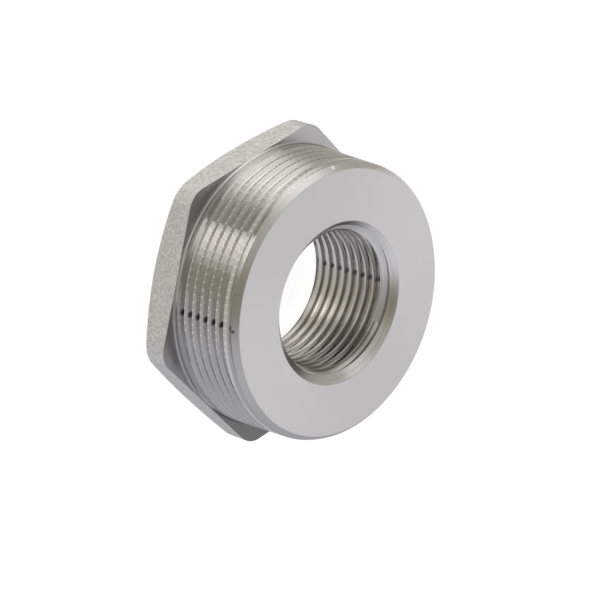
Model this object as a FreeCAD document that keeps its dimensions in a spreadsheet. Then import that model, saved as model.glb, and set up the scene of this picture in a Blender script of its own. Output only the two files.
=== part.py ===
import FreeCAD, Part
import math
import os
import Sketcher

# Hexagon bushing for pipe: one stainless steel casting, turned all over except on its six flats,
# with a tapered pipe thread cut round its upper end.
# It stands on the hexagon's flat rear face, with the axis upright (+Z) and the tapered end on top.
# The origin is the centre of that rear face, and two of the flats face along X.

document = FreeCAD.newDocument("HexBushing")

# Driving sizes, in millimetres unless the note says otherwise
DRIVING_SIZES = (
    ("male_crest_diameter", 58.14, "tapered thread blank, across the crests at its small end"),
    ("male_taper", 0.0625, "loss of diameter per unit of length, 1 in 16"),
    ("male_length", 17.25, "from the hexagon's front face to the small end"),
    ("head_height", 7.1, "from the rear face to the hexagon's front face"),
    ("flat_margin", 0.15, "how far each flat stands outside the blank's large end"),
    ("corner_radius", 5.0, "round on the hexagon's six corners"),
    ("rear_land_inset", 0.5, "from a flat inwards to the edge of the flat rear face"),
    ("rear_chamfer_angle", 25.0, "slope of the turned cone behind the corners, in degrees"),
    ("root_bevel", 0.3, "45 degree bevel between the blank and the hexagon's front face"),
    ("nose_chamfer", 1.15, "45 degree chamfer on the blank's small end"),
    ("bore_diameter", 29.4, "drilled through, the crests of the female thread"),
    ("mouth_diameter", 34.3, "countersink at each end of the bore, 45 degrees to its side"),
    ("thread_pitch", 2.2087, "height of one thread turn, 11.5 turns to the inch"),
    ("flank_angle", 30.0, "slope of each flank of the thread groove, in degrees"),
    ("groove_depth", 1.72, "from the crests to the bottom of the groove"),
    ("groove_root_flat", 0.09, "width of the flat in the bottom of the groove"),
    ("cutter_rise", 0.06, "how far the cutting profile stands out over the crests"),
    ("groove_start", 7.8, "height at which the groove starts, with no depth yet"),
    ("groove_direction", 241.0, "direction in which it starts, in degrees from +X"),
    ("run_out_turns", 0.52, "turns over which the groove comes to its full depth"),
    ("full_turns", 5.23, "turns cut to the full depth"),
    ("easing_turns", 0.53, "turns over which the groove gets shallower again"),
    ("last_turns", 1.25, "turns of the shallow end, out through the nose chamfer"),
    ("last_turn_rise", 0.7, "how much shallower the groove is at that end"),
    ("stage_overlap", 0.006, "turns by which each length of groove runs into the next"),
)


def make_sheet():
    """Puts the driving sizes into a spreadsheet, one aliased cell each."""
    sheet = document.addObject("Spreadsheet::Sheet", "Sizes")
    for row, (alias, value, note) in enumerate(DRIVING_SIZES, start=1):
        sheet.set(f"A{row}", alias)
        sheet.set(f"B{row}", str(value))
        sheet.set(f"C{row}", note)
        sheet.setAlias(f"B{row}", alias)
    document.recompute()
    return sheet


SIDES = 6
SIDE_ANGLE = 360 / SIDES

# Radii and heights that follow from the driving sizes, as formulas over the sheet
NOSE_FACE = "Sizes.head_height + Sizes.male_length"
SMALL_END_RADIUS = "Sizes.male_crest_diameter / 2"
LARGE_END_RADIUS = f"{SMALL_END_RADIUS} + Sizes.male_length * Sizes.male_taper / 2"
NOSE_CHAMFER_RADIUS = f"{SMALL_END_RADIUS} + Sizes.nose_chamfer * Sizes.male_taper / 2"
NOSE_FACE_RADIUS = f"{NOSE_CHAMFER_RADIUS} - Sizes.nose_chamfer"
ROOT_RADIUS = f"{LARGE_END_RADIUS} - Sizes.root_bevel * Sizes.male_taper / 2"
HALF_FLATS = f"{LARGE_END_RADIUS} + Sizes.flat_margin"
CORNER_REACH = f"({HALF_FLATS}) / cos({SIDE_ANGLE / 2})"
BAR_RADIUS = f"{CORNER_REACH} + Sizes.flat_margin"
REAR_LAND_RADIUS = f"{HALF_FLATS} - Sizes.rear_land_inset"
REAR_CONE_HEIGHT = f"({BAR_RADIUS} - ({REAR_LAND_RADIUS})) * tan(Sizes.rear_chamfer_angle)"
BORE_RADIUS = "Sizes.bore_diameter / 2"
MOUTH_RADIUS = "Sizes.mouth_diameter / 2"
MOUTH_DEPTH = f"({MOUTH_RADIUS} - {BORE_RADIUS})"
CUTTER_HEIGHT = "(Sizes.groove_depth + Sizes.cutter_rise)"
ROOT_HALF_WIDTH = "Sizes.groove_root_flat / 2"
TOP_HALF_WIDTH = f"({ROOT_HALF_WIDTH} + {CUTTER_HEIGHT} * tan(Sizes.flank_angle))"

# The turned section, anticlockwise from the rear face's inner edge, as (radius, height)
TURNED_SECTION = (
    (MOUTH_RADIUS, "0"),
    (REAR_LAND_RADIUS, "0"),
    (BAR_RADIUS, REAR_CONE_HEIGHT),
    (BAR_RADIUS, "Sizes.head_height"),
    (f"{LARGE_END_RADIUS} + Sizes.root_bevel", "Sizes.head_height"),
    (ROOT_RADIUS, "Sizes.head_height + Sizes.root_bevel"),
    (NOSE_CHAMFER_RADIUS, f"{NOSE_FACE} - Sizes.nose_chamfer"),
    (NOSE_FACE_RADIUS, NOSE_FACE),
    (MOUTH_RADIUS, NOSE_FACE),
    (BORE_RADIUS, f"{NOSE_FACE} - {MOUTH_DEPTH}"),
    (BORE_RADIUS, MOUTH_DEPTH),
)

# The groove from the hexagon upwards, in lengths that follow each other: name, turns, how far its
# bottom lies outside the full depth at both ends, and how far it is moved up besides its turns.
# The shallow end keeps the upper flank of the full groove, so it moves up by that flank's slope.
GROOVE_STAGES = (
    ("RunOut", "Sizes.run_out_turns", CUTTER_HEIGHT, "0", "0"),
    ("FullDepth", "Sizes.full_turns", "0", "0", "0"),
    ("Easing", "Sizes.easing_turns", "0", "Sizes.last_turn_rise",
     "Sizes.last_turn_rise * tan(Sizes.flank_angle)"),
    ("ShallowEnd", "Sizes.last_turns", "Sizes.last_turn_rise", "Sizes.last_turn_rise", "0"),
)

ORIGIN_POINT = (-1, 1)
HORIZONTAL_AXIS = -1
START = 1
END = 2
CENTRE = 3


def value_of(sheet, formula):
    """The number that a formula over the sheet gives now."""
    result = sheet.evalExpression(formula)
    return float(getattr(result, "Value", result))


def sketch_on(body, role, name):
    """A new sketch in the body, attached to one of its own origin planes."""
    plane = next(part for part in body.Origin.OriginFeatures if part.Role == role)
    sketch = body.newObject("Sketcher::SketchObject", name)
    sketch.AttachmentSupport = (plane, [""])
    sketch.MapMode = "FlatFace"
    return sketch


def bind(sketch, kind, *geometry, name, formula, start):
    """Adds a dimension to the sketch and binds it to a formula."""
    index = sketch.addConstraint(Sketcher.Constraint(kind, *geometry, start))
    sketch.renameConstraint(index, name)
    sketch.setExpression(f"Constraints.{name}", formula)


def draw_section(sketch, sheet, section):
    """Draws a closed section, each corner held by its radius and its height."""
    corners = [
        FreeCAD.Vector(value_of(sheet, radius), value_of(sheet, height), 0)
        for radius, height in section
    ]
    count = len(corners)
    for index in range(count):
        sketch.addGeometry(Part.LineSegment(corners[index], corners[(index + 1) % count]), False)
    for index in range(count):
        following = (index + 1) % count
        sketch.addConstraint(Sketcher.Constraint("Coincident", index, END, following, START))
    for index, (radius, height) in enumerate(section):
        bind(sketch, "DistanceX", *ORIGIN_POINT, index, START,
             name=f"radius_{index}", formula=radius, start=corners[index].x)
        if height == "0":
            sketch.addConstraint(Sketcher.Constraint("PointOnObject", index, START, HORIZONTAL_AXIS))
        else:
            bind(sketch, "DistanceY", *ORIGIN_POINT, index, START,
                 name=f"height_{index}", formula=height, start=corners[index].y)


def draw_around_hexagon(sketch, sheet):
    """Draws what lies outside the hexagon: a ring from its flats to beyond its corners."""
    reach = value_of(sheet, CORNER_REACH)
    ring = value_of(sheet, BAR_RADIUS) + value_of(sheet, "Sizes.corner_radius")
    middle = FreeCAD.Vector(0, 0, 0)
    up = FreeCAD.Vector(0, 0, 1)
    corners = []
    for index in range(SIDES):
        angle = math.radians(SIDE_ANGLE * (index - 0.5))
        corners.append(FreeCAD.Vector(reach * math.cos(angle), reach * math.sin(angle), 0))
    for index in range(SIDES):
        sketch.addGeometry(Part.LineSegment(corners[index], corners[(index + 1) % SIDES]), False)
    corner_circle = sketch.addGeometry(Part.Circle(middle, up, reach), True)
    outer_circle = sketch.addGeometry(Part.Circle(middle, up, ring), False)
    for circle in (corner_circle, outer_circle):
        sketch.addConstraint(Sketcher.Constraint("Coincident", circle, CENTRE, *ORIGIN_POINT))
    for index in range(SIDES):
        following = (index + 1) % SIDES
        sketch.addConstraint(Sketcher.Constraint("Coincident", index, END, following, START))
        sketch.addConstraint(Sketcher.Constraint("PointOnObject", index, START, corner_circle))
    for index in range(1, SIDES):
        sketch.addConstraint(Sketcher.Constraint("Equal", 0, index))
    sketch.addConstraint(Sketcher.Constraint("Vertical", 0))
    bind(sketch, "Radius", corner_circle, name="corner_reach", formula=CORNER_REACH, start=reach)
    bind(sketch, "Radius", outer_circle, name="outside",
         formula=f"{BAR_RADIUS} + Sizes.corner_radius", start=ring)


def edges_where(feature, test):
    """The names of the feature's edges that pass the test."""
    return [f"Edge{number}" for number, edge in enumerate(feature.Shape.Edges, start=1) if test(edge)]


def make_blank(sheet):
    """Turns the blank with its bore, then mills the six flats and rounds their corners."""
    body = document.addObject("PartDesign::Body", "BushingBlank")

    section = sketch_on(body, "XZ_Plane", "TurnedSection")
    draw_section(section, sheet, TURNED_SECTION)
    document.recompute()
    turned = body.newObject("PartDesign::Revolution", "TurnedBlank")
    turned.Profile = section
    turned.ReferenceAxis = (section, ["V_Axis"])
    turned.Angle = 360
    document.recompute()

    outline = sketch_on(body, "XY_Plane", "AroundHexagon")
    draw_around_hexagon(outline, sheet)
    document.recompute()
    flats = body.newObject("PartDesign::Pocket", "SixFlats")
    flats.Profile = outline
    flats.Type = "ThroughAll"
    flats.Midplane = True
    document.recompute()

    # The six upright edges where neighbouring flats meet
    reach = value_of(sheet, CORNER_REACH)

    def is_corner(edge):
        if not isinstance(edge.Curve, Part.Line):
            return False
        first, last = (vertex.Point for vertex in (edge.Vertexes[0], edge.Vertexes[-1]))
        upright = math.isclose(first.x, last.x, abs_tol=0.001) and math.isclose(first.y, last.y, abs_tol=0.001)
        return upright and math.isclose(math.hypot(first.x, first.y), reach, abs_tol=0.01)

    corners = body.newObject("PartDesign::Fillet", "CornerRounds")
    corners.Base = (flats, edges_where(flats, is_corner))
    corners.setExpression("Radius", "Sizes.corner_radius")
    body.Tip = corners
    body.Placement = FreeCAD.Placement()
    document.recompute()
    return body


def root_radius(height, rise):
    """Formula for the radius of the groove's bottom at a height, moved outwards by a rise."""
    cone = f"{SMALL_END_RADIUS} + ({NOSE_FACE} - ({height})) * Sizes.male_taper / 2"
    return f"({cone} - Sizes.groove_depth + {rise})"


def groove_stage(sheet, name, start, end, turns, direction):
    """One length of the groove: its profile swept along a helix from start to end.

    Start and end are each a height and the radius of the groove's bottom, as formulas.
    """
    (low, low_radius), (high, high_radius) = start, end
    gain = f"(({high}) - ({low}))"

    path = document.addObject("Part::Helix", f"{name}Path")
    path.SegmentLength = 1
    path.setExpression("Radius", low_radius)
    path.setExpression("Pitch", f"{gain} / {turns}")
    path.setExpression("Height", f"{gain} * (1 + Sizes.stage_overlap / {turns})")
    path.setExpression("Angle", f"atan(({high_radius} - {low_radius}) / {gain})")
    path.setExpression("Placement.Base.z", low)

    profile = document.addObject("Sketcher::SketchObject", f"{name}Profile")
    profile.Placement = FreeCAD.Placement(
        FreeCAD.Vector(0, 0, 0), FreeCAD.Rotation(FreeCAD.Vector(1, 0, 0), 90))
    top_radius = f"{low_radius} + {CUTTER_HEIGHT}"
    draw_section(profile, sheet, (
        (low_radius, f"{low} - {ROOT_HALF_WIDTH}"),
        (top_radius, f"{low} - {TOP_HALF_WIDTH}"),
        (top_radius, f"{low} + {TOP_HALF_WIDTH}"),
        (low_radius, f"{low} + {ROOT_HALF_WIDTH}"),
    ))
    document.recompute()

    groove = document.addObject("Part::Sweep", f"{name}Groove")
    groove.Sections = [profile]
    groove.Spine = (path, [])
    groove.Solid = True
    groove.Frenet = True
    groove.setExpression("Placement.Rotation.Angle", direction)
    document.recompute()
    return groove


def cut_thread(sheet, blank):
    """Cuts the groove into the blank, one length after the other."""
    piece = blank
    low = "Sizes.groove_start"
    direction = "Sizes.groove_direction"
    for name, turns, first_rise, last_rise, moved in GROOVE_STAGES:
        high = f"{low} + {turns} * Sizes.thread_pitch + {moved}"
        start = (low, root_radius(low, first_rise))
        end = (high, root_radius(high, last_rise))
        groove = groove_stage(sheet, name, start, end, turns, direction)
        cut = document.addObject("Part::Cut", f"{name}Cut")
        cut.Base = piece
        cut.Tool = groove
        document.recompute()
        piece = cut
        low = high
        direction = f"{direction} + {turns} * 360"
    return piece


def check(objects):
    """Stops if any object of the document failed, or a sub-part has no sound shape."""
    for item in document.Objects:
        if "Invalid" in item.State or "Error" in item.State:
            raise RuntimeError(f"{item.Name} failed: {item.State}")
    for item in objects:
        if item.Shape.isNull() or not item.Shape.isValid():
            raise RuntimeError(f"{item.Label} has no valid shape")


def main():
    sheet = make_sheet()
    bushing = cut_thread(sheet, make_blank(sheet))
    bushing.Label = "hex_bushing"
    check([bushing])
    os.makedirs("parts", exist_ok=True)
    bushing.Shape.exportStep(os.path.join("parts", f"{bushing.Label}.step"))
    box = bushing.Shape.optimalBoundingBox()
    print(bushing.Label, "solids", len(bushing.Shape.Solids), "volume", round(bushing.Shape.Volume, 1),
          "box", [round(size, 3) for size in (box.XLength, box.YLength, box.ZLength)])


main()
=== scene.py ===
"""Hexagon reducing bushing in stainless steel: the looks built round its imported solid.

Every length is in metres. The part stands on its rear face with its axis upright, so a height is
measured from that face and a radius from the axis. Tones of the steel and lights are placed by
their direction round the axis, in degrees from +X.
"""

import math

import bmesh
import bpy
from bpy.props import FloatProperty, FloatVectorProperty, IntProperty, PointerProperty
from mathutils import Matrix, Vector


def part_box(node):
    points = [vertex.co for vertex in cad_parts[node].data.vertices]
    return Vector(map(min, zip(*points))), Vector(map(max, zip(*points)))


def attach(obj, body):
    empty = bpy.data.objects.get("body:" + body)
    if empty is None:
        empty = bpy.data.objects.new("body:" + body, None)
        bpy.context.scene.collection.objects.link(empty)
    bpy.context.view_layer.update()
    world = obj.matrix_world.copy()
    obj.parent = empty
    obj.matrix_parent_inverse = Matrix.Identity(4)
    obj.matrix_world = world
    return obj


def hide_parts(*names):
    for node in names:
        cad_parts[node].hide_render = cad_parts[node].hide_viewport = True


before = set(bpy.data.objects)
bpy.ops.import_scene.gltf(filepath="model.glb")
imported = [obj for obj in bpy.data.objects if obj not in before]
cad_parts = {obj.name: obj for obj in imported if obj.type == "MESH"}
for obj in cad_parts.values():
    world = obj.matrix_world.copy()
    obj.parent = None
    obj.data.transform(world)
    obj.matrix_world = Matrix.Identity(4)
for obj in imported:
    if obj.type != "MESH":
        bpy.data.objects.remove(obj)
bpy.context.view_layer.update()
NODE = "hex_bushing"
LOWEST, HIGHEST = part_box(NODE)

bl_info = {
    "name": "Hexagon reducing bushing",
    "version": (1, 0, 0),
    "blender": (4, 5, 0),
    "location": "3D View > Sidebar > Bushing",
    "description": "Builds a threaded hexagon bushing and the studio it is photographed in",
    "category": "Add Mesh",
}

MM = 0.001
SIDES = 6
FULL_TURN = 2 * math.pi
DEGREES = 360 / FULL_TURN
FLANK_SLOPE = math.tan(math.radians(30))
TAPER = 1 / 32

# Points closer together than this become one, before the threads are cut and after
BODY_WELD = 0.0005 * MM
CUT_WELD = 0.0008 * MM
SHARP_EDGE = math.radians(8)


def length(name, default, description):
    """A size in metres, shown in the scene's own units."""
    return FloatProperty(name=name, description=description, default=default, min=0,
                         precision=5, unit="LENGTH", subtype="DISTANCE")


def height(name, default, description):
    """A height over the rear face, below it where negative."""
    return FloatProperty(name=name, description=description, default=default, precision=5,
                         unit="LENGTH", subtype="DISTANCE")


def angle(name, degrees, description):
    """An angle kept in radians and shown in degrees."""
    return FloatProperty(name=name, description=description, default=math.radians(degrees),
                         unit="ROTATION", subtype="ANGLE")


def factor(name, default, description):
    """A plain number from 0 to 1."""
    return FloatProperty(name=name, description=description, default=default, min=0, max=1,
                         subtype="FACTOR")


def turns(name, default, description):
    """A number of thread turns."""
    return FloatProperty(name=name, description=description, default=default, min=0, precision=3)


def colour(name, default, description):
    """A colour as red, green and blue."""
    return FloatVectorProperty(name=name, description=description, default=default, size=3,
                               min=0, max=1, subtype="COLOR")


class BodySizes(bpy.types.PropertyGroup):
    """Sizes of the turned body before its threads are cut."""
    across_flats: length("Across flats", HIGHEST.x - LOWEST.x, "Between two opposite flats")
    corner_radius: length("Corner radius", 5.0 * MM, "Round on the six corners")
    head_height: length("Head height", 7.1 * MM, "Height of the hexagon's front face")
    rear_inset: length("Rear inset", 0.5 * MM, "From a flat to the rim of the rear face")
    rear_slope: angle("Rear slope", 25, "Slope of the cone turned behind the corners")
    height: length("Height", HIGHEST.z, "From the rear face to the nose face")
    large_radius: length("Large end radius", 29.609 * MM, "Blank radius at the hexagon")
    small_radius: length("Small end radius", 29.07 * MM, "Blank radius at the nose face")
    root_round: length("Root round", 0.4 * MM, "Round between the blank and the hexagon")
    nose_chamfer: length("Nose chamfer", 1.15 * MM, "Chamfer round the nose face")
    bore_radius: length("Bore radius", 14.7 * MM, "Radius of the drilled hole")
    mouth_radius: length("Mouth radius", 17.15 * MM, "Countersink at both ends of the hole")
    edge_break: length("Edge break", 0.09 * MM, "How far sharp edges are taken off")
    columns: IntProperty(name="Columns", description="Facets round the part", default=480,
                         min=48, max=960)


class MaleThread(bpy.types.PropertyGroup):
    """Sizes of the tapered outer thread."""
    pitch: length("Pitch", 25.4 * MM / 11.5, "Height of one turn")
    root_radius: length("Root radius", 27.35 * MM, "Bottom of the groove at the nose face")
    depth: length("Cut depth", 1.78 * MM, "Height of the cutting profile")
    root_flat: length("Root flat", 0.09 * MM, "Width of the flat in the groove's bottom")
    first: height("First groove", 7.8 * MM, "Height of the groove where the cut starts")
    turns: turns("Turns", 7.53, "Turns of the groove from its start to its end")
    run_out: turns("Run-out", 0.52, "Turns over which the groove reaches its depth")
    full: turns("Full depth", 5.23, "Turns cut to the full depth")
    easing: turns("Easing", 0.53, "Turns over which the groove gets shallower again")
    last_rise: length("Last turn's rise", 0.7 * MM, "How much shallower its last turn is")
    phase: angle("Phase", -119, "Direction in which the groove starts")
    columns: IntProperty(name="Columns", description="Facets in one turn", default=708, min=48,
                         max=960)
    marks: IntProperty(name="Chatter marks", description="Marks in one turn", default=118, min=0)
    mark_depth: length("Mark depth", 0.0015 * MM, "How far each mark hollows the flanks")
    burr: length("Burr", 0.03 * MM, "How far the crest stands out between two marks")


class FemaleThread(bpy.types.PropertyGroup):
    """Sizes of the tapered inner thread."""
    pitch: length("Pitch", 25.4 * MM / 11.5, "Height of one turn")
    root_radius: length("Root radius", 16.45 * MM, "Bottom of the groove at the nose face")
    depth: length("Cut depth", 1.8 * MM, "Height of the cutting profile")
    root_flat: length("Root flat", 0.08 * MM, "Width of the flat in the groove's bottom")
    first: height("First groove", -1.2 * MM, "Height of the groove where the cut starts")
    turns: turns("Turns", 12.13, "Turns of the groove from its start to its end")
    run_out: turns("Run-out", 0.02, "Turns over which the groove reaches its depth")
    full: turns("Full depth", 12.1, "Turns cut to the full depth")
    easing: turns("Easing", 0.01, "Turns over which the groove gets shallower again")
    last_rise: length("Last turn's rise", 0.0, "How much shallower its last turn is")
    phase: angle("Phase", -19.8, "Direction in which the groove starts")
    columns: IntProperty(name="Columns", description="Facets in one turn", default=480, min=48,
                         max=960)
    marks: IntProperty(name="Chatter marks", description="Marks in one turn", default=80, min=0)
    mark_depth: length("Mark depth", 0.001 * MM, "How far each mark hollows the flanks")
    burr: length("Burr", 0.0, "How far the crest stands out between two marks")


class SteelFinish(bpy.types.PropertyGroup):
    """Colour and finish of the steel, and the strength of its painted shade, highlights and marks.
    """
    turned: colour("Turned steel", (0.62, 0.61, 0.61), "Colour of the turned faces")
    blasted: colour("Blasted steel", (0.605, 0.60, 0.595), "Colour of the blasted flats")
    threaded: colour("Threaded steel", (0.62, 0.61, 0.60), "Colour of the outer thread")
    inner: colour("Inner thread's steel", (0.74, 0.715, 0.685), "Colour of the inner thread")
    turned_roughness: factor("Turned roughness", 0.30, "Roughness of the turned faces")
    blasted_roughness: factor("Blasted roughness", 0.52, "Roughness of the blasted flats")
    threaded_roughness: factor("Thread roughness", 0.10, "Roughness of the outer thread")
    inner_roughness: factor("Inner roughness", 0.20, "Roughness of the inner thread")
    head_shade: factor("Head shade", 0.2, "How much darker the head's front is")
    corner_shade: factor("Corner shade", 0.5, "How much darker still one corner of it is")
    mouth_gleam: factor("Mouth gleam", 0.4, "How much lighter one side of the countersink is")
    mouth_shade: factor("Mouth shade", 0.22, "How much darker another side of it is")
    nick_darkness: factor("Nick darkness", 0.8, "How dark the dark nick on the nose chamfer is")
    glint_brightness: factor("Painted glint", 0.6, "How bright the painted glint on the chamfer is")
    row_darkness: factor("Row darkness", 0.85, "How dark the outer thread's row of spots is")
    inner_row_darkness: factor("Inner row darkness", 0.595, "How dark the inner row of spots is")
    mark_shade: factor("Mark shade", 0.03, "How dark the edges of the chatter marks are")
    burr_gleam: factor("Burr gleam", 0.55, "How bright the burrs on the crests are")
    bore_shade: factor("Bore shade", 0.5, "How much darker the inner thread's shaded side is")


class Number:
    """A number inside a node tree that adds, multiplies and compares like a plain one."""

    def __init__(self, graph, socket):
        self.graph = graph
        self.socket = socket

    def _math(self, operation, *others):
        return self.graph.maths(operation, self, *others)

    def __add__(self, other):
        return self._math("ADD", other)

    def __sub__(self, other):
        return self._math("SUBTRACT", other)

    def __mul__(self, other):
        return self._math("MULTIPLY", other)

    def __truediv__(self, other):
        return self._math("DIVIDE", other)

    __radd__ = __add__
    __rmul__ = __mul__

    def __rsub__(self, other):
        return self.graph.maths("SUBTRACT", other, self)

    def sine(self):
        return self._math("SINE")

    def cosine(self):
        return self._math("COSINE")

    def absolute(self):
        return self._math("ABSOLUTE")

    def floor(self):
        return self._math("FLOOR")

    def rounded(self):
        return self._math("ROUND")

    def most(self, other):
        return self._math("MAXIMUM", other)

    def above(self, other):
        return self._math("GREATER_THAN", other)

    def power(self, other):
        return self._math("POWER", other)

    def modulo(self, other):
        return self._math("FLOORED_MODULO", other)

    def ramp(self, low, high, start=0.0, end=1.0, kind="SMOOTHSTEP"):
        """Goes from start to end while the number goes from low to high."""
        node = self.graph.add("ShaderNodeMapRange", interpolation_type=kind)
        for socket, value in zip(node.inputs, (self, low, high, start, end)):
            self.graph.feed(socket, value)
        return Number(self.graph, node.outputs[0])


class Graph:
    """Adds nodes to a tree and joins them."""

    def __init__(self, tree):
        self.tree = tree

    def add(self, kind, inputs=(), **settings):
        """A new node with its settings made and its named inputs fed."""
        node = self.tree.nodes.new(kind)
        for key, value in settings.items():
            setattr(node, key, value)
        for key, value in dict(inputs).items():
            self.feed(node.inputs[key], value)
        return node

    def feed(self, socket, value):
        """Links an output to the socket, or writes a plain value on it."""
        if isinstance(value, Number):
            value = value.socket
        if isinstance(value, bpy.types.NodeSocket):
            self.tree.links.new(value, socket)
        else:
            socket.default_value = value

    def joined(self, kind, values, **settings):
        """The output of a new node with its inputs fed in their order."""
        node = self.add(kind, **settings)
        for socket, value in zip(node.inputs, values):
            self.feed(socket, value)
        return node.outputs[0]

    def maths(self, operation, *values):
        """The number that one operation makes of the values."""
        return Number(self, self.joined("ShaderNodeMath", values, operation=operation))

    def number(self, socket):
        """An output as a number."""
        return Number(self, socket)

    def parts(self, vector):
        """The three numbers of a vector."""
        node = self.add("ShaderNodeSeparateXYZ")
        self.feed(node.inputs[0], vector)
        return [Number(self, socket) for socket in node.outputs]

    def vector(self, x, y, z):
        """A vector of three numbers."""
        return self.joined("ShaderNodeCombineXYZ", (x, y, z))

    def scaled(self, vector, level, label=""):
        """A vector times a number."""
        node = self.add("ShaderNodeVectorMath", operation="SCALE", label=label)
        self.feed(node.inputs[0], vector)
        self.feed(node.inputs["Scale"], level)
        return node.outputs[0]

    def mixed(self, share, first, second):
        """A shader that goes from the first to the second as the share goes from 0 to 1."""
        return self.joined("ShaderNodeMixShader", (share, first, second))


def window(number, start, full, fade, end):
    """1 between full and fade, softly down to 0 at start and at end."""
    rising = number.ramp(start, full) if full > start else 1
    return number.ramp(fade, end, 1.0, 0.0) * rising


def sector(degrees, edges):
    """A window over directions, also across the one where their count starts again."""
    first = edges[0]
    return window((degrees - first).modulo(360), *[edge - first for edge in edges])


# A sharp edge is eased by an arc of so many steps, over at most this share of each side
EDGE_STEPS = 2
EDGE_SHARE = 0.4


def rounded_section(corners, edge_break):
    """The closed section with each marked corner eased by a short arc."""
    count = len(corners)
    points = []
    for index, (radius, height, eased) in enumerate(corners):
        here = Vector((radius, height))
        if not eased:
            points.append(here)
            continue
        before = Vector(corners[index - 1][:2]) - here
        after = Vector(corners[(index + 1) % count][:2]) - here
        reach = min(edge_break, before.length * EDGE_SHARE, after.length * EDGE_SHARE)
        start = here + before.normalized() * reach if before.length > 0 else here
        end = here + after.normalized() * reach if after.length > 0 else here
        for step in range(EDGE_STEPS + 1):
            t = step / EDGE_STEPS
            points.append(start * (1 - t) ** 2 + here * 2 * t * (1 - t) + end * t ** 2)
    return points


def hexagon_radius(direction, half_flats, corner_radius):
    """Distance from the axis to the hexagon's rounded outline in one direction."""
    side = FULL_TURN / SIDES
    off = abs((direction + side / 2) % side - side / 2)
    centre = (half_flats - corner_radius) / math.cos(side / 2)
    if math.tan(off) * half_flats <= centre * math.sin(side / 2):
        return half_flats / math.cos(off)
    turn = side / 2 - off
    return centre * math.cos(turn) + math.sqrt(corner_radius ** 2 - (centre * math.sin(turn)) ** 2)


def blank_fall(sizes):
    """How much the blank's radius falls with each metre of height."""
    return (sizes.large_radius - sizes.small_radius) / (sizes.height - sizes.head_height)


# Steps of the root round, and how far outside it the first ring on the head's front lies
ROUND_STEPS = 12
FIRST_RING = 0.1 * MM


def section_at(direction, sizes):
    """The body's closed section in one direction, from the rear countersink outwards."""
    half_flats = sizes.across_flats / 2
    edge = hexagon_radius(direction, half_flats, sizes.corner_radius)
    rear_rim = half_flats - sizes.rear_inset
    rear_edge = (edge - rear_rim) * math.tan(sizes.rear_slope)
    round_radius = sizes.root_round
    foot = sizes.large_radius + round_radius
    floor = sizes.head_height
    fall = blank_fall(sizes)
    mouth = sizes.mouth_radius - sizes.bore_radius
    nose = sizes.small_radius + sizes.nose_chamfer * fall
    corners = [
        (sizes.bore_radius, mouth, True),
        (sizes.mouth_radius, 0.0, True),
        (rear_rim, 0.0, True),
        (edge, rear_edge, True),
    ]
    swept = math.pi / 2
    if edge < foot:
        swept = math.acos((foot - edge) / round_radius)
    top = floor + round_radius * (1 - math.sin(swept))
    corners.append((edge, top, True))
    if edge > foot:
        corners.append((foot + min((edge - foot) / 2, FIRST_RING), top, False))
        shares = [step / ROUND_STEPS for step in range(ROUND_STEPS)]
    else:
        shares = [(step + 1) / (ROUND_STEPS + 2) for step in range(ROUND_STEPS + 1)]
    for share in shares:
        turn = swept * (1 - share)
        corners.append((foot - round_radius * math.cos(turn),
                        floor + round_radius * (1 - math.sin(turn)), False))
    corners += [
        (sizes.large_radius - round_radius * fall, floor + round_radius, False),
        (nose, sizes.height - sizes.nose_chamfer, True),
        (nose - sizes.nose_chamfer, sizes.height, True),
        (sizes.mouth_radius, sizes.height, True),
        (sizes.bore_radius, sizes.height - mouth, True),
    ]
    return rounded_section(corners, sizes.edge_break)


def turned_body(sizes):
    """The closed body before threading, as a mesh of one section for each column."""
    count = sizes.columns
    sections = [section_at(FULL_TURN * index / count, sizes) for index in range(count)]
    ring = len(sections[0])
    shape = bmesh.new()
    columns = []
    for index, section in enumerate(sections):
        direction = FULL_TURN * index / count
        across, along = math.cos(direction), math.sin(direction)
        columns.append([shape.verts.new((p.x * across, p.x * along, p.y)) for p in section])
    for index in range(count):
        left, right = columns[index], columns[(index + 1) % count]
        for step in range(ring):
            after = (step + 1) % ring
            shape.faces.new((left[step], right[step], right[after], left[after]))
    bmesh.ops.remove_doubles(shape, verts=shape.verts, dist=BODY_WELD)
    bmesh.ops.recalc_face_normals(shape, faces=shape.faces)
    mesh = bpy.data.meshes.new("bushing_body")
    shape.to_mesh(mesh)
    shape.free()
    return mesh


THREAD_INPUTS = ("Pitch", "Nose", "Root radius", "Fall", "Cut depth", "Root flat", "First groove",
                 "Turns", "Run-out", "Full depth", "Easing", "Last rise", "Phase", "Marks",
                 "Mark depth", "Burr", "Outwards")

# The cutting profile's corners: 0 and 1 at the root, 2 and 5 where the flanks bend, 3 and 4 at the
# top, so 1 to 3 are its upper flank. The bend lies at this share of the cut's depth, and keeps the
# burrs beside the crest.
SECTION_POINTS = 6
TOP_MIDDLE = 3.5
UPPER_MIDDLE = 2
BEND = 0.86

# The chatter marks are a wave between 0 and 1: its mean, and where it ends the burr beside a mark
WAVE_MEAN = 0.6
BURR_EDGES = (0.05, 0.6)


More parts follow.
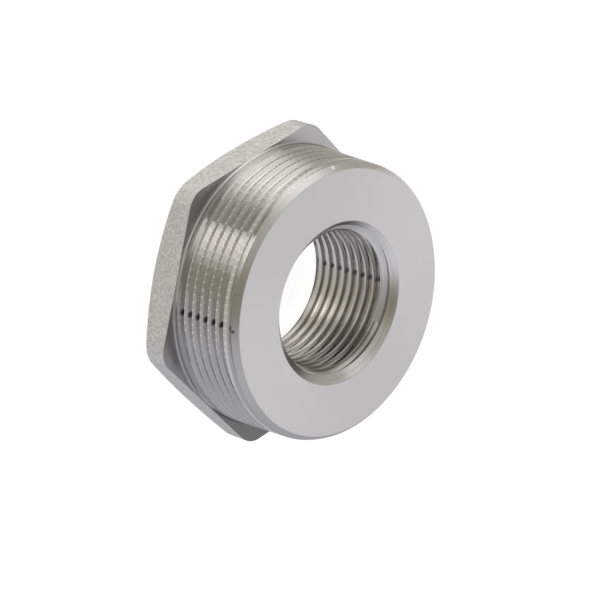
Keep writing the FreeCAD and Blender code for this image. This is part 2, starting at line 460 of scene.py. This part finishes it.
def thread_tree():
    """A Geometry Nodes tree that cuts one helical groove into the geometry it is given."""
    tree = bpy.data.node_groups.new("Cut a thread", "GeometryNodeTree")
    tree.is_modifier = True
    face = tree.interface
    face.new_socket("Geometry", in_out="INPUT", socket_type="NodeSocketGeometry")
    for name in THREAD_INPUTS:
        face.new_socket(name, in_out="INPUT", socket_type="NodeSocketFloat")
    face.new_socket("Columns", in_out="INPUT", socket_type="NodeSocketInt")
    face.new_socket("Steel", in_out="INPUT", socket_type="NodeSocketMaterial")
    face.new_socket("Geometry", in_out="OUTPUT", socket_type="NodeSocketGeometry")
    graph = Graph(tree)
    given = graph.add("NodeGroupInput").outputs
    take = {name: graph.number(given[name]) for name in THREAD_INPUTS}
    columns = graph.number(given["Columns"])
    pitch, fall, depth = take["Pitch"], take["Fall"], take["Cut depth"]
    first, outwards = take["First groove"], take["Outwards"]

    # A flat grid, with one row for each column of the helix and one line for each corner
    rows = (take["Turns"] * columns).rounded() + 1
    grid = graph.add("GeometryNodeMeshGrid", {"Size X": 1.0, "Size Y": 1.0, "Vertices X": rows,
                                              "Vertices Y": SECTION_POINTS + 1})
    place = graph.add("GeometryNodeInputPosition").outputs[0]
    along, across, _ = graph.parts(place)
    along = along + 0.5
    corner = ((across + 0.5) * SECTION_POINTS).rounded()
    corner = corner - (corner / SECTION_POINTS + 0.01).floor() * SECTION_POINTS
    row = (along * (rows - 1)).rounded()
    travelled = row / columns

    # How far the cut stays out of its full depth on its way in and in its last turn
    eased = take["Run-out"] + take["Full depth"]
    rising = take["Last rise"] * travelled.ramp(eased, eased + take["Easing"], kind="LINEAR")
    entering = depth * travelled.ramp(0.0, take["Run-out"], 1.0, 0.0, kind="LINEAR")
    centre = first + pitch * travelled + rising * FLANK_SLOPE

    # The profile's corners. Those of the first and the last row come together and close the ends.
    from_top = (corner - TOP_MIDDLE).absolute()
    top = 1 - from_top.above(1.0)
    share = (1 - from_top.above(2.0)) * BEND + top * (1 - BEND)
    side = 1 - (corner - UPPER_MIDDLE).absolute().above(1.2) * 2
    half_width = take["Root flat"] / 2 + share * depth * FLANK_SLOPE
    ends = row.above(0.5) * (rows - 1.5).above(row)
    wave = (travelled * take["Marks"] * math.pi).sine().absolute()
    burr = top * take["Burr"] * wave.ramp(*BURR_EDGES, 1.0, 0.0)
    hollow = (wave - WAVE_MEAN) * take["Mark depth"] - burr
    offset = (half_width + hollow) * side * ends
    rise = depth * (1 - (1 - share) * ends)

    # The same corners wound round the axis
    height = centre + offset
    outside = fall * (take["Nose"] - height) + rise + entering + rising
    radius = take["Root radius"] + outwards * outside
    turn = take["Phase"] + travelled * FULL_TURN
    point = graph.vector(radius * turn.cosine(), radius * turn.sine(), height)
    moved = graph.add("GeometryNodeSetPosition", {"Geometry": grid.outputs[0], "Position": point})
    merged = graph.add("GeometryNodeMergeByDistance",
                       {"Geometry": moved.outputs[0], "Distance": BODY_WELD})
    flipped = graph.add("GeometryNodeFlipFaces",
                        {"Mesh": merged.outputs[0], "Selection": outwards.above(0)})
    cut = graph.add("GeometryNodeMeshBoolean", operation="DIFFERENCE", solver="MANIFOLD")
    graph.feed(cut.inputs["Mesh 1"], given["Geometry"])
    graph.feed(cut.inputs["Mesh 2"], flipped.outputs[0])
    real = graph.add("GeometryNodeRealizeInstances", {"Geometry": cut.outputs[0]})
    dressed = graph.add("GeometryNodeSetMaterial",
                        {"Geometry": real.outputs[0], "Material": given["Steel"]})
    out = graph.add("NodeGroupOutput")
    graph.feed(out.inputs["Geometry"], dressed.outputs[0])
    return tree


def cut_thread(piece, tree, sizes, thread, outwards, material):
    """Adds the thread's modifier to the piece, its inputs set by their identifiers."""
    values = {
        "Pitch": thread.pitch, "Nose": sizes.height, "Root radius": thread.root_radius,
        "Fall": blank_fall(sizes), "Cut depth": thread.depth, "Root flat": thread.root_flat,
        "First groove": thread.first, "Turns": thread.turns, "Run-out": thread.run_out,
        "Full depth": thread.full, "Easing": thread.easing, "Last rise": thread.last_rise,
        "Phase": thread.phase, "Marks": float(thread.marks), "Mark depth": thread.mark_depth,
        "Burr": thread.burr, "Outwards": outwards, "Columns": thread.columns, "Steel": material,
    }
    modifier = piece.modifiers.new("Thread", "NODES")
    modifier.node_group = tree
    for item in tree.interface.items_tree:
        if item.in_out == "INPUT" and item.name in values:
            modifier[item.identifier] = values[item.name]


def tidy_mesh(mesh):
    """Smooths the mesh and keeps its sharp edges sharp."""
    shape = bmesh.new()
    shape.from_mesh(mesh)
    bmesh.ops.remove_doubles(shape, verts=shape.verts, dist=CUT_WELD)
    bmesh.ops.dissolve_degenerate(shape, edges=shape.edges, dist=BODY_WELD)
    bmesh.ops.recalc_face_normals(shape, faces=shape.faces)
    shape.to_mesh(mesh)
    shape.free()
    mesh.shade_smooth()
    mesh.set_sharp_from_angle(angle=SHARP_EDGE)


def plain_mesh(piece):
    """Replaces the piece's mesh by its evaluated one and takes its modifiers off."""
    view = bpy.context.evaluated_depsgraph_get()
    mesh = bpy.data.meshes.new_from_object(piece.evaluated_get(view))
    piece.modifiers.clear()
    piece.data = mesh
    return mesh


class Surface:
    """A metal material and the graph that works out its colour, roughness and relief."""

    def __init__(self, name, tint, roughness):
        self.material = bpy.data.materials.new(name)
        self.material.use_nodes = True
        self.tint = tint
        self.roughness = roughness
        self.graph = Graph(self.material.node_tree)
        self.inputs = self.material.node_tree.nodes["Principled BSDF"].inputs
        self.inputs["Metallic"].default_value = 1.0
        self.inputs["Roughness"].default_value = roughness
        self.inputs["Base Color"].default_value = (*tint, 1)
        self.spot = self.graph.add("ShaderNodeTexCoord").outputs["Object"]

    def around_axis(self):
        """The shaded point's radius and height in millimetres and its direction in radians."""
        x, y, z = [part / MM for part in self.graph.parts(self.spot)]
        return (x * x + y * y).power(0.5), z, self.graph.maths("ARCTAN2", y, x)

    def noise(self, scale, detail=3.0, grit=0.5, over=None):
        """Noise from 0 to 1 over the surface, or over another vector."""
        node = self.graph.add("ShaderNodeTexNoise", {
            "Vector": over or self.spot, "Scale": scale, "Detail": detail, "Roughness": grit})
        return self.graph.number(node.outputs[0])

    def dress(self, level, roughening, relief, depth):
        """Feeds the shader a level for its colour, an added roughness and a relief this deep."""
        bump = self.graph.add("ShaderNodeBump",
                              {"Strength": 1.0, "Distance": depth, "Height": relief})
        self.graph.feed(self.inputs["Base Color"], self.graph.scaled(self.tint, level))
        self.graph.feed(self.inputs["Roughness"], self.roughness + roughening)
        self.graph.feed(self.inputs["Normal"], bump.outputs[0])
        return self.material


# Where tones are painted into the steel's colour: mostly painted shade and painted highlights, and
# a nick. Four numbers are where a tone starts, is full, fades and ends, as directions or heights.
# Two are where it starts and is full, as radii or heights. Radii and heights are in millimetres
# here.
# Painted shade on the head's front, darker still at one corner
HEAD_FRONT = (5.5, 6.5, 7.4, 7.6)
HEAD_CORNER = (106, 128, 168, 178)
# A painted highlight on one side of the countersink and painted shade on another
MOUTH_RADII = (17.25, 17.15)
MOUTH_LIGHT_SIDE = (250, 272, 305, 330)
MOUTH_SHADE_SIDE = (158, 172, 188, 215)
# The dark nick on the nose chamfer, and a painted glint on the chamfer
DARK_NICK = ((73.1, 73.6, 74.2, 74.7), (28.5, 28.7), (23.1, 23.2))
PAINTED_GLINT = ((-13.3, -12.6, -11.6, -10.9), (28.4, 28.6), (22.9, 23.0))
# A painted sheen, lighter and darker twice round the turned faces
SHEEN, SHEEN_TURN = 0.045, math.radians(200)


def nick(degrees, radius, height, place):
    """1 on a small spot of the nose chamfer: the dark nick, and the painted glint."""
    directions, radii, heights = place
    return sector(degrees, directions) * radius.ramp(*radii) * height.ramp(*heights)


def turned_steel(finish):
    """Steel with lathe rings and a nick, and painted shade, highlights, sheen and a glint."""
    surface = Surface("turned_steel", finish.turned, finish.turned_roughness)
    radius, height, direction = surface.around_axis()
    degrees = direction * DEGREES
    lathe = surface.graph.vector(radius * 3.0, height * 3.0, direction * 0.4)
    rings = surface.noise(1.0, over=lathe)
    cloud = surface.noise(90.0)
    # Painted shade on the head's front, darker still at one corner
    corner = sector(degrees, HEAD_CORNER) * finish.corner_shade
    head = 1 - window(height, *HEAD_FRONT) * (finish.head_shade + corner)
    # A painted highlight and painted shade on two sides of the countersink, with its lathe rings
    light = sector(degrees, MOUTH_LIGHT_SIDE) * finish.mouth_gleam
    dark = sector(degrees, MOUTH_SHADE_SIDE) * finish.mouth_shade
    mouth = radius.ramp(*MOUTH_RADII) * (light - dark + (rings - 0.5) * 0.5) + 1
    dark_nick = 1 - nick(degrees, radius, height, DARK_NICK) * finish.nick_darkness
    # A painted glint on the nose chamfer
    painted_glint = 1 + nick(degrees, radius, height, PAINTED_GLINT) * finish.glint_brightness
    # A painted sheen
    sheen = (direction * 2 - SHEEN_TURN).cosine() * SHEEN + 1
    level = sheen * mouth * head * dark_nick * painted_glint
    mottled = level * (0.95 + rings * 0.05 + cloud * 0.06)
    return surface.dress(mottled, rings * 0.1 - 0.05, rings, 0.004 * MM)


def blasted_steel(finish):
    """Steel with the coarse bright grain of bead blasting."""
    surface = Surface("blasted_steel", finish.blasted, finish.blasted_roughness)
    grain = surface.noise(2000.0, grit=0.6)
    cloud = surface.noise(160.0)
    level = 0.36 + grain * 1.13 + cloud * 0.16
    return surface.dress(level, cloud * 0.12 - 0.06, grain, 0.09 * MM)


def dress_thread(surface, level):
    """Finishes a thread's steel with fine mottling round the level that it is given."""
    cloud = surface.noise(900.0)
    patch = surface.noise(200.0, detail=2.0)
    mottled = level * (0.9 + cloud * 0.14 + patch * 0.06)
    return surface.dress(mottled, cloud * 0.06 - 0.03, cloud, 0.0015 * MM)


# The outer thread's tones, mostly painted shade and painted highlights, with radii carried along
# the taper to the nose face
CREST = (28.88, 28.98)
CREST_FIRST = (9.5, 10.5)
CREST_LAST = (20.2, 20.8)
SPOT_DEPTH = (28.75, 28.2)
SPOT_SIDE = (71.6, 72.7, 73.9, 75.0)
BURR_SHAPE = (0.15, 0.45)
# The side where the crests' burrs get a painted highlight
BURR_GLEAM_SIDE = (12, 38, 76, 94)
# Painted shade on the crests on one side, and in the grooves on another
SHADED_CREST_SIDE = (-34, -10, 13, 21)
DEEP = (28.42, 28.22)
GROOVE_SHADE_START = (9.2, 10.0)
GROOVE_SHADE_SIDE = (84, 100, 145, 165)
# Painted shade on the blank next to the head
NEAR_HEAD_SHADE = (8.6, 9.4)


def male_steel(finish, thread, sizes):
    """The outer thread: chatter marks, dark spots, painted highlights on burrs and painted shade.
    """
    surface = Surface("male_thread_steel", finish.threaded, finish.threaded_roughness)
    radius, height, direction = surface.around_axis()
    degrees = direction * DEGREES
    at_nose = radius + (height - sizes.height / MM) * TAPER
    wave = ((direction - thread.phase) * (thread.marks / 2)).sine().absolute()
    on_crest = at_nose.ramp(*CREST) * height.ramp(*CREST_FIRST)
    on_crest = on_crest * height.ramp(*CREST_LAST, 1.0, 0.5)
    burr = wave.ramp(*BURR_SHAPE, 1.0, 0.0)
    # Chatter marks with a painted highlight on the crests' burrs, mostly on one side, and painted
    # shade beside them
    gleam = on_crest * finish.burr_gleam - (1 - on_crest) * finish.mark_shade
    marks = 1 + burr * (0.06 + 0.94 * sector(degrees, BURR_GLEAM_SIDE)) * gleam
    spots = sector(degrees, SPOT_SIDE) * at_nose.ramp(*SPOT_DEPTH)
    # Painted shade on the crests on one side and in the grooves on another
    shaded_crest = on_crest * sector(degrees, SHADED_CREST_SIDE) * (0.5 - 0.4 * burr)
    deep = at_nose.ramp(*DEEP) * sector(degrees, GROOVE_SHADE_SIDE) * (0.3 + 0.2 * wave)
    shade = (1 - shaded_crest) * (1 - deep * height.ramp(*GROOVE_SHADE_START))
    # Painted shade next to the head
    run_out = height.ramp(*NEAR_HEAD_SHADE, 0.75, 1.0)
    return dress_thread(surface, marks * run_out * (1 - spots * finish.row_darkness) * shade)


# The inner thread's painted highlights and painted shade, by radius from crest to groove, and
# its row of spots
INNER_CREST = (14.78, 14.72)
INNER_GROOVE = (14.9, 15.5)
INNER_SPOT_DEPTH = (14.75, 15.1)
INNER_SPOT_SIDE = (-105.6, -104.2, -102.6, -101.2)
# Painted shade on one side of the bore
SHADED_BORE_SIDE = (135, 158, 182, 240)
SHADED_BORE_HEIGHTS = (9.0, 15.0)


def female_steel(finish):
    """The inner thread: painted highlights and painted shade, and a faint row of spots."""
    surface = Surface("female_thread_steel", finish.inner, finish.inner_roughness)
    radius, height, direction = surface.around_axis()
    degrees = direction * DEGREES
    # Painted shade on one side of the bore
    dull = sector(degrees, SHADED_BORE_SIDE) * height.ramp(*SHADED_BORE_HEIGHTS)
    # Painted highlights in the grooves and on the crests, painted shade on the flanks
    flank = radius.ramp(*INNER_GROOVE, 0.38, 1.25) + radius.ramp(*INNER_CREST) * 0.4
    spots = sector(degrees, INNER_SPOT_SIDE) * radius.ramp(*INNER_SPOT_DEPTH)
    level = flank * (1 - dull * finish.bore_shade) * (1 - spots * finish.inner_row_darkness)
    return dress_thread(surface, level)


# The piece's finishes, in the order of its material slots
TURNED, BLASTED, MALE, FEMALE = range(4)

# How upright a face's normal is on a wall, on the nose chamfer and on a level face
WALL, SLOPE, LEVEL = 0.2, 0.6, 0.95
FLATS_MARGIN = 0.02 * MM
GROOVE_MARGIN = 2.5 * MM


def assign_finishes(mesh, sizes, materials):
    """Gives each face the finish of the surface that it belongs to."""
    mesh.materials.clear()
    for material in materials:
        mesh.materials.append(material)
    mouth = sizes.mouth_radius - sizes.bore_radius
    rim = sizes.small_radius - sizes.nose_chamfer
    chamfer = sizes.height - sizes.nose_chamfer
    for face in mesh.polygons:
        middle = face.center
        radius = math.hypot(middle.x, middle.y)
        upright = abs(face.normal.z)
        if radius > sizes.large_radius + FLATS_MARGIN and upright < WALL:
            face.material_index = BLASTED
        elif rim - GROOVE_MARGIN < radius and sizes.head_height + sizes.root_round < middle.z:
            on_nose = upright > LEVEL or (upright > SLOPE and middle.z > chamfer)
            face.material_index = TURNED if on_nose else MALE
        elif radius < sizes.mouth_radius and mouth < middle.z < sizes.height - mouth:
            face.material_index = FEMALE
        else:
            face.material_index = TURNED


class BUSHING_OT_body(bpy.types.Operator):
    """Turn the body, cut both threads and finish the steel"""
    bl_idname = "bushing.body"
    bl_label = "Make the bushing"

    def execute(self, context):
        scene = context.scene
        sizes = scene.bushing_body
        finish = scene.bushing_finish
        turned, blasted = turned_steel(finish), blasted_steel(finish)
        male, female = male_steel(finish, scene.bushing_male, sizes), female_steel(finish)
        piece = bpy.data.objects.new("threaded_bushing", turned_body(sizes))
        scene.collection.objects.link(piece)
        tree = thread_tree()
        cut_thread(piece, tree, sizes, scene.bushing_male, 1.0, male)
        cut_thread(piece, tree, sizes, scene.bushing_female, -1.0, female)
        mesh = plain_mesh(piece)
        if not mesh.polygons:
            raise RuntimeError("cutting the threads left no faces")
        tidy_mesh(mesh)
        assign_finishes(mesh, sizes, (turned, blasted, male, female))
        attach(piece, "root")
        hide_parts(NODE)
        return {"FINISHED"}


CAMERA_TURN = (-18.7279, -44.1573, -104.7166)
FILM_WIDTH = 36
CLIP_START, CLIP_END = 0.01, 20


class StageSettings(bpy.types.PropertyGroup):
    """The floor, the light and the camera."""
    floor_radius: length("Floor radius", 1.5, "Radius of the round floor")
    floor_gap: length("Floor gap", 0.05 * MM, "How far the floor lies under the part")
    camera_place: FloatVectorProperty(name="Camera place", description="Where the camera stands",
                                      default=(0.29863, 0.350474, 0.439973), size=3,
                                      unit="LENGTH", subtype="TRANSLATION")
    camera_turn: FloatVectorProperty(name="Camera turn", description="How the camera is turned",
                                     default=[math.radians(turn) for turn in CAMERA_TURN], size=3,
                                     unit="ROTATION", subtype="EULER")
    focal_length: FloatProperty(name="Focal length", description="In millimetres, on a 36 mm film",
                                default=183.785, min=1)
    warm_room: colour("Warm room", (0.525, 0.495, 0.44), "The dim room above and beside the part")
    cool_room: colour("Cool room", (0.51, 0.512, 0.54), "The dim room on the part's far side")
    light_level: factor("Light level", 1.0, "Strength of all the soft lights together")


WHITE = (1, 1, 1, 1)

# The floor's two greys: the one that lights the part, and the one under the glow that is seen
FLOOR_GREY = (0.8, 0.8, 0.8, 1)
FLOOR_SHADOWED = (0.25, 0.25, 0.25, 1)
FLOOR_GLOW = 0.92
FLOOR_SEGMENTS = 96


def floor_material():
    """A white floor that takes a soft shadow, isn't mirrored and is clear from below."""
    material = bpy.data.materials.new("floor_white")
    material.use_nodes = True
    tree = material.node_tree
    tree.nodes.clear()
    graph = Graph(tree)
    rays = graph.add("ShaderNodeLightPath").outputs
    below = graph.number(graph.add("ShaderNodeNewGeometry").outputs["Backfacing"])
    dull = graph.add("ShaderNodeBsdfDiffuse", {"Color": FLOOR_GREY}).outputs[0]
    faint = graph.add("ShaderNodeBsdfDiffuse", {"Color": FLOOR_SHADOWED}).outputs[0]
    glow = graph.add("ShaderNodeEmission", {"Color": WHITE, "Strength": FLOOR_GLOW}).outputs[0]
    clear = graph.add("ShaderNodeBsdfTransparent").outputs[0]
    glowing = graph.joined("ShaderNodeAddShader", (faint, glow))
    seen = graph.number(rays["Is Camera Ray"]).most(rays["Is Transmission Ray"])
    unseen = below.most(rays["Is Glossy Ray"])
    out = graph.add("ShaderNodeOutputMaterial")
    graph.feed(out.inputs["Surface"], graph.mixed(unseen, graph.mixed(seen, dull, glowing), clear))
    return material


# The soft lights round the part: name, strength, colour, the directions where the light starts, is
# full, fades and ends, and the same four as heights from -1 to 1
ALL_ROUND = None
SOFT_LIGHTS = (
    ("key", 1.85, (1.0, 0.99, 0.98), (-60, -32, -22, 8), (-0.93, -0.05, -0.1, 1.05)),
    ("key_top", 0.56, (1.0, 0.98, 0.96), (-74, -60, -48, -34), (0.5, 0.70, 0.84, 0.92)),
    ("zenith", -0.15, (1.0, 0.95, 0.86), (-46, -30, -8, 14), (0.80, 0.89, 2.0, 3.0)),
    ("second", 1.35, (1.0, 0.98, 0.96), (21.5, 24.5, 32, 60), (-0.85, -0.2, -0.2, 0.75)),
    ("nose", 0.40, (1.0, 0.98, 0.93), (-165, -140, -105, -84), (0.1, 0.45, 0.75, 0.95)),
    ("back", 0.36, (1.0, 1.0, 1.0), (-150, -130, -98, -86), (-0.65, -0.3, 0.1, 0.5)),
    ("far", 0.15, (0.95, 0.97, 1.05), (95, 115, 135, 162), (-1.3, -0.7, 0.35, 0.7)),
    ("below", 0.56, (1.0, 1.0, 1.0), ALL_ROUND, (-3.0, -2.0, -0.85, -0.58)),
    ("under", 0.5, (0.98, 0.99, 1.04), (120, 170, 230, 280), (-3.0, -2.0, -0.85, -0.66)),
    ("shade", -0.25, (1.0, 1.0, 1.0), (30, 60, 85, 108), (0.0, 0.6, 0.94, 1.05)),
)
COOL_SIDE = (90, 115, 232, 280)


def studio_surround(world, stage):
    """White to the camera, and to everything else a dim room with a few soft lights."""
    world.use_nodes = True
    tree = world.node_tree
    tree.nodes.clear()
    graph = Graph(tree)
    x, y, up = graph.parts(graph.add("ShaderNodeTexCoord").outputs["Generated"])
    around = graph.maths("ARCTAN2", y, x) * DEGREES
    room = graph.add("ShaderNodeMix", data_type="RGBA")
    graph.feed(room.inputs["Factor"], sector(around, COOL_SIDE))
    graph.feed(room.inputs["A"], (*stage.warm_room, 1))
    graph.feed(room.inputs["B"], (*stage.cool_room, 1))
    total = room.outputs["Result"]
    for name, strength, tint, directions, heights in SOFT_LIGHTS:
        shape = window(up, *heights)
        if directions is not ALL_ROUND:
            shape = shape * sector(around, directions)
        light = graph.scaled(tint, shape * (strength * stage.light_level), label=name)
        total = graph.joined("ShaderNodeVectorMath", (total, light), operation="ADD")
    rays = graph.add("ShaderNodeLightPath").outputs
    lit = graph.add("ShaderNodeBackground", {"Color": total, "Strength": 1.0}).outputs[0]
    white = graph.add("ShaderNodeBackground", {"Color": WHITE, "Strength": 1.0}).outputs[0]
    out = graph.add("ShaderNodeOutputWorld")
    graph.feed(out.inputs["Surface"], graph.mixed(rays["Is Camera Ray"], lit, white))


class BUSHING_OT_stage(bpy.types.Operator):
    """Lay the floor, light the room and stand the camera"""
    bl_idname = "bushing.stage"
    bl_label = "Set the stage"

    def execute(self, context):
        scene = context.scene
        stage = scene.bushing_stage
        shape = bmesh.new()
        bmesh.ops.create_circle(shape, cap_ends=True, segments=FLOOR_SEGMENTS,
                                radius=stage.floor_radius)
        mesh = bpy.data.meshes.new("floor")
        shape.to_mesh(mesh)
        shape.free()
        mesh.materials.append(floor_material())
        floor = bpy.data.objects.new("floor", mesh)
        floor.location.z = -stage.floor_gap
        scene.collection.objects.link(floor)
        scene.world = bpy.data.worlds.new("studio")
        studio_surround(scene.world, stage)
        camera = bpy.data.objects.new("camera", bpy.data.cameras.new("camera"))
        camera.data.sensor_width = FILM_WIDTH
        camera.data.lens = stage.focal_length
        camera.data.clip_start, camera.data.clip_end = CLIP_START, CLIP_END
        camera.location = stage.camera_place
        camera.rotation_euler = stage.camera_turn
        scene.collection.objects.link(camera)
        scene.camera = camera
        scene.view_settings.view_transform = "Standard"
        return {"FINISHED"}


class BUSHING_PT_panel(bpy.types.Panel):
    """Lists the sizes, the finish and the steps"""
    bl_idname = "BUSHING_PT_panel"
    bl_label = "Hexagon bushing"
    bl_space_type = "VIEW_3D"
    bl_region_type = "UI"
    bl_category = "Bushing"

    def draw(self, context):
        scene = context.scene
        for title, group in (("Body", scene.bushing_body), ("Male thread", scene.bushing_male),
                             ("Female thread", scene.bushing_female),
                             ("Finish", scene.bushing_finish), ("Stage", scene.bushing_stage)):
            box = self.layout.box()
            box.label(text=title)
            for name in group.__annotations__:
                box.prop(group, name)
        for operator in OPERATORS:
            self.layout.operator(operator.bl_idname)


GROUPS = (
    ("bushing_body", BodySizes),
    ("bushing_male", MaleThread),
    ("bushing_female", FemaleThread),
    ("bushing_finish", SteelFinish),
    ("bushing_stage", StageSettings),
)
OPERATORS = (BUSHING_OT_body, BUSHING_OT_stage)


def register():
    for name, group in GROUPS:
        bpy.utils.register_class(group)
        setattr(bpy.types.Scene, name, PointerProperty(type=group))
    for kind in (*OPERATORS, BUSHING_PT_panel):
        bpy.utils.register_class(kind)


def unregister():
    for kind in reversed((*OPERATORS, BUSHING_PT_panel)):
        bpy.utils.unregister_class(kind)
    for name, group in reversed(GROUPS):
        delattr(bpy.types.Scene, name)
        bpy.utils.unregister_class(group)


def main():
    register()
    bpy.ops.bushing.body()
    bpy.ops.bushing.stage()


if __name__ == "__main__":
    main()
